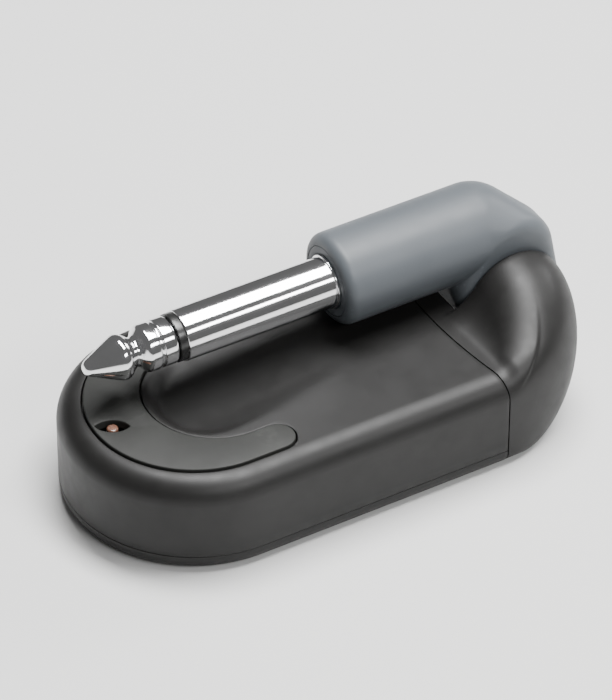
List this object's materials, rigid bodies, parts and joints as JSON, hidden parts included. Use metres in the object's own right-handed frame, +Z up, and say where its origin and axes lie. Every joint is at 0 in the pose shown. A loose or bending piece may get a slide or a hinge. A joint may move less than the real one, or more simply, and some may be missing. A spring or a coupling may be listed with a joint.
{
  "type": "wireless guitar transmitter",
  "caption": "Pocket wireless guitar transmitter: flat black body with a crescent button, and a grey arm that swings a 6.35 mm jack plug out of the body on a side pivot.",
  "frame": {"origin": "on the underside of the flat body, under the middle of the whole folded object", "axes": "+X towards the pivot end, +Y away from the side that carries the neck, +Z up from the flat underside to the folded plug"},
  "size_m": [0.0664, 0.033, 0.0251],
  "materials": {
    "housing_black": "smooth satin black, soft-touch coat",
    "neck_black": "smooth satin black, soft-touch coat",
    "pad_black": "flat matte black, a little greyer than the housing",
    "arm_grey": "semi-matte blue-grey",
    "plug_chrome": "mirror-polished plating",
    "insulator_black": "glossy black",
    "spring_steel": "plain spring steel",
    "screw_steel": "black zinc",
    "lug_brass": "tinned brass",
    "board_green": "solder mask",
    "shield_tin": "tin-plated steel",
    "chip_black": "moulded epoxy",
    "ceramic_white": "unglazed ceramic",
    "light_amber": "clear warm light pipe",
    "led_amber": "moulded clear resin",
    "battery_foil": "laminated pouch foil",
    "tape_white": "double-sided tape",
    "wire_red": "insulated wire",
    "lead_black": "shielded lead",
    "fibre_tan": "pressed fibre"
  },
  "bodies": {
    "body": {"housing_top": "housing_black", "housing_bottom": "housing_black", "end_cap": "neck_black", "light_pipe": "light_amber", "circuit_board": "board_green", "radio_shield": "shield_tin", "control_chip": "chip_black", "chip_antenna": "ceramic_white", "status_led": "led_amber", "tact_switch": "shield_tin", "usb_shell": "shield_tin", "usb_tongue": "insulator_black", "battery": "battery_foil", "battery_tape": "tape_white", "battery_leads": "wire_red", "neck_lead": "lead_black", "housing_screws": "screw_steel", "friction_washer": "spring_steel", "retaining_clip": "spring_steel", "pivot_shaft": "spring_steel"},
    "button": {"power_button": "pad_black"},
    "arm": {"arm_shell": "arm_grey", "arm_cap": "arm_grey", "arm_lead": "lead_black", "plug_retainer": "arm_grey", "plug_sleeve": "plug_chrome", "plug_insulator": "insulator_black", "plug_tip": "plug_chrome", "rear_insulator": "fibre_tan", "sleeve_lug": "lug_brass", "tip_lug": "lug_brass"}
  },
  "joints": [
    {"name": "arm_pivot", "type": "hinge", "parent": "body", "child": "arm", "pos_m": [0.0262, 0, 0.0125], "axis": [0, 1, 0], "range_deg": [0, 190]},
    {"name": "power_button", "type": "slide", "parent": "body", "child": "button", "axis": [0, 0, -1], "range_m": [0, 0.0004], "stiffness_N_per_m": 2500}
  ]
}
